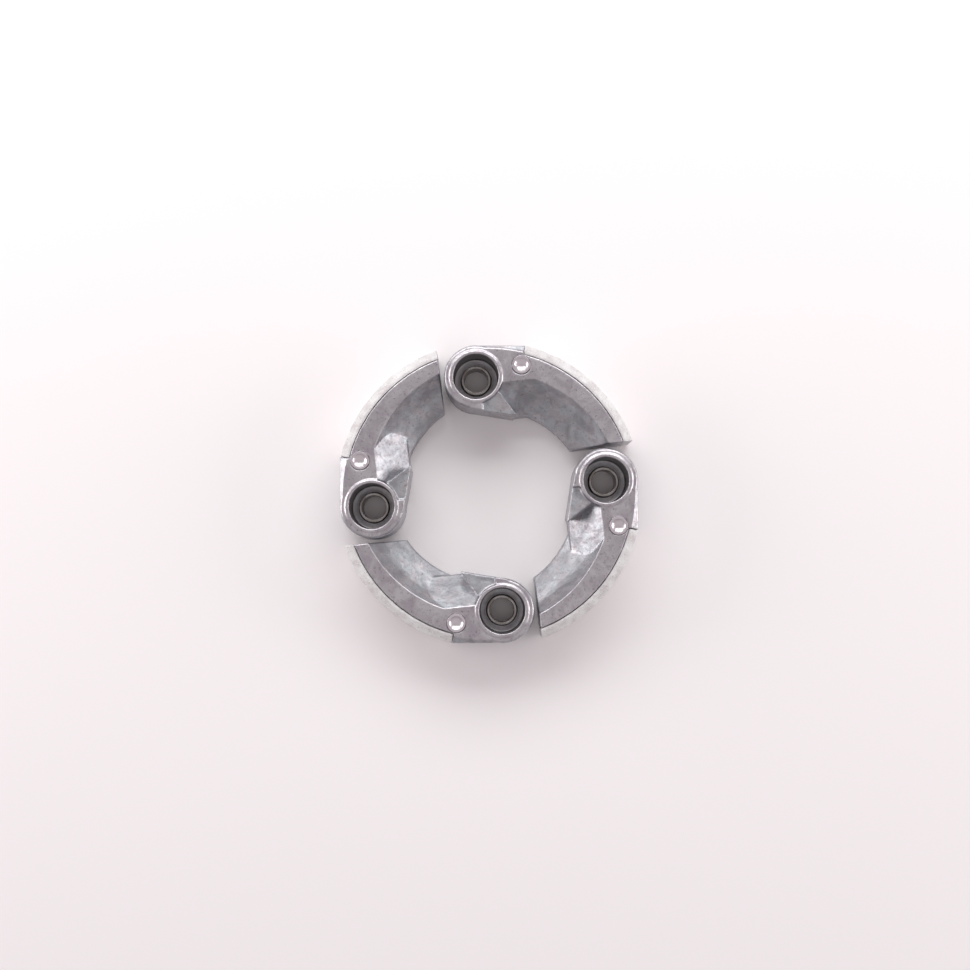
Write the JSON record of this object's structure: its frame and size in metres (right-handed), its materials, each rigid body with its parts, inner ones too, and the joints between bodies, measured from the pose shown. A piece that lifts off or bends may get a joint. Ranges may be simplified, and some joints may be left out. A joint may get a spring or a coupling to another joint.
{
  "type": "centrifugal clutch shoe ring",
  "caption": "Ring of die-cast pivoting clutch shoes with bonded friction linings, steel pivot bushes and spring pins, swinging outwards round an open hub space.",
  "frame": {"origin": "on the ring's axis, in the plane of the seat face that the shoes lie on", "axes": "+Z along the ring's axis, from the seat face towards the open counterbores; +Y from the axis through the first shoe's pivot"},
  "size_m": [0.0682, 0.0682, 0.0124],
  "materials": {
    "cast_alloy": "die-cast skin, satin, with darker flow marks and bright worn edges",
    "friction_material": "matte pressed-fibre composite, pale, with fine flecks",
    "bush_steel": "turned steel, lightly oiled",
    "pin_steel": "polished steel"
  },
  "bodies": {
    "pivot_bushes": {"pivot_bush_1": "bush_steel", "pivot_bush_2": "bush_steel", "pivot_bush_3": "bush_steel", "pivot_bush_4": "bush_steel"},
    "shoe_1": {"shoe_casting_1": "cast_alloy", "friction_lining_1": "friction_material", "spring_pin_1": "pin_steel"},
    "shoe_2": {"shoe_casting_2": "cast_alloy", "friction_lining_2": "friction_material", "spring_pin_2": "pin_steel"},
    "shoe_3": {"shoe_casting_3": "cast_alloy", "friction_lining_3": "friction_material", "spring_pin_3": "pin_steel"},
    "shoe_4": {"shoe_casting_4": "cast_alloy", "friction_lining_4": "friction_material", "spring_pin_4": "pin_steel"}
  },
  "joints": [
    {"name": "shoe_1_swing", "type": "hinge", "parent": "pivot_bushes", "child": "shoe_1", "pos_m": [0, 0.02675, 0], "axis": [0, 0, 1], "range_deg": [0, 5]},
    {"name": "shoe_2_swing", "type": "hinge", "parent": "pivot_bushes", "child": "shoe_2", "pos_m": [-0.02675, 0, 0], "axis": [0, 0, 1], "range_deg": [0, 5]},
    {"name": "shoe_3_swing", "type": "hinge", "parent": "pivot_bushes", "child": "shoe_3", "pos_m": [0, -0.02675, 0], "axis": [0, 0, 1], "range_deg": [0, 5]},
    {"name": "shoe_4_swing", "type": "hinge", "parent": "pivot_bushes", "child": "shoe_4", "pos_m": [0.02675, 0, 0], "axis": [0, 0, 1], "range_deg": [0, 5]}
  ]
}
